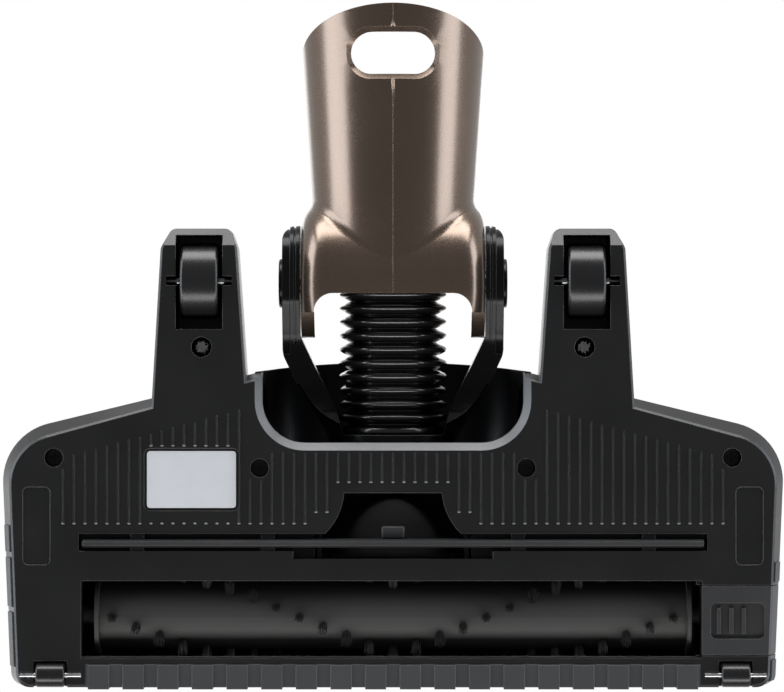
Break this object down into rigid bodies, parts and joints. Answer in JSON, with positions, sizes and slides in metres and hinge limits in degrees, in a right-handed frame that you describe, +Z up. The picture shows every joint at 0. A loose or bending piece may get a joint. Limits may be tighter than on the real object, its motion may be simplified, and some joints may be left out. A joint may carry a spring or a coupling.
{
  "type": "vacuum brush",
  "caption": "Powered vacuum floor brush: wide black head with bristle roll, wiper blade, wheels and rollers, swivelling yoke, corrugated hose and a tilting socket neck.",
  "frame": {"origin": "centre of the bounding box, at floor level", "axes": "+Z up, +Y to the rear along the neck, +X to the belt side, which is on the right seen from the front"},
  "size_m": [0.2884, 0.2522, 0.0714],
  "materials": {
    "black_plastic": "fine spark texture",
    "cover_plastic": "satin",
    "bumper_rubber": "soft matte",
    "wiper_rubber": "soft matte",
    "label_white": "blank film",
    "steel": "zinc plated",
    "motor_steel": "plain can",
    "belt_rubber": "plain",
    "bush_plastic": "plain",
    "pulley_brass": "plain",
    "board_green": "plain",
    "roll_plastic": "plain",
    "bristle": "nylon bristle",
    "wheel_plastic": "plain",
    "yoke_plastic": "satin",
    "hose_plastic": "glossy",
    "neck_bronze": "metallic paint"
  },
  "bodies": {
    "head": {"sole_plate": "black_plastic", "top_cover": "cover_plastic", "front_bumper": "bumper_rubber", "side_bumper_right": "bumper_rubber", "side_bumper_left": "bumper_rubber", "wiper_blade": "wiper_rubber", "blank_label": "label_white", "sole_screws": "steel", "arm_screws": "steel", "roll_tunnel": "black_plastic", "suction_duct": "black_plastic", "swivel_ring": "bush_plastic", "motor": "motor_steel", "drive_belt": "belt_rubber", "drive_bearing": "bush_plastic", "control_board": "board_green", "rear_axle_right": "steel", "rear_axle_left": "steel", "roller_axle_right": "steel", "roller_axle_left": "steel"},
    "roll": {"brush_core": "roll_plastic", "bristle_tufts": "bristle", "roll_pulley": "bush_plastic"},
    "rotor": {"motor_pulley": "pulley_brass"},
    "door": {"roll_door": "black_plastic", "door_bush": "bush_plastic"},
    "yoke": {"yoke": "yoke_plastic", "hose": "hose_plastic", "hinge_pin_right": "steel", "hinge_pin_left": "steel", "pivot_cap_right": "yoke_plastic", "pivot_cap_left": "yoke_plastic"},
    "neck": {"neck_tube": "neck_bronze", "hose_collar": "bush_plastic", "power_contacts": "pulley_brass"},
    "wheel_right": {"rear_wheel_right": "wheel_plastic"},
    "roller_right": {"front_roller_right": "wheel_plastic"},
    "wheel_left": {"rear_wheel_left": "wheel_plastic"},
    "roller_left": {"front_roller_left": "wheel_plastic"}
  },
  "joints": [
    {"name": "roll_spin", "type": "hinge", "parent": "head", "child": "roll", "pos_m": [0, -0.1, 0.021], "axis": [1, 0, 0], "continuous": true},
    {"name": "motor_spin", "type": "hinge", "parent": "head", "child": "rotor", "pos_m": [0, -0.058, 0.026], "axis": [1, 0, 0], "continuous": true},
    {"name": "door_slide", "type": "slide", "parent": "head", "child": "door", "axis": [-1, 0, 0], "range_m": [0, 0.03]},
    {"name": "yoke_swivel", "type": "hinge", "parent": "head", "child": "yoke", "pos_m": [0, 0, 0.038], "axis": [0, 1, 0], "range_deg": [-25, 25]},
    {"name": "neck_tilt", "type": "hinge", "parent": "yoke", "child": "neck", "pos_m": [0, 0.0235, 0.038], "axis": [1, 0, 0], "range_deg": [0, 85], "deforming": ["hose"]},
    {"name": "wheel_right_spin", "type": "hinge", "parent": "head", "child": "wheel_right", "pos_m": [0.0713, 0.024, 0.014], "axis": [1, 0, 0], "continuous": true},
    {"name": "roller_right_spin", "type": "hinge", "parent": "head", "child": "roller_right", "pos_m": [0.1259, -0.121, 0.0044], "axis": [1, 0, 0], "continuous": true},
    {"name": "wheel_left_spin", "type": "hinge", "parent": "head", "child": "wheel_left", "pos_m": [-0.0713, 0.024, 0.014], "axis": [1, 0, 0], "continuous": true},
    {"name": "roller_left_spin", "type": "hinge", "parent": "head", "child": "roller_left", "pos_m": [-0.1259, -0.121, 0.0044], "axis": [1, 0, 0], "continuous": true}
  ],
  "couplings": [
    {"joint": "motor_spin", "follows": "roll_spin", "ratio": 2.2}
  ]
}
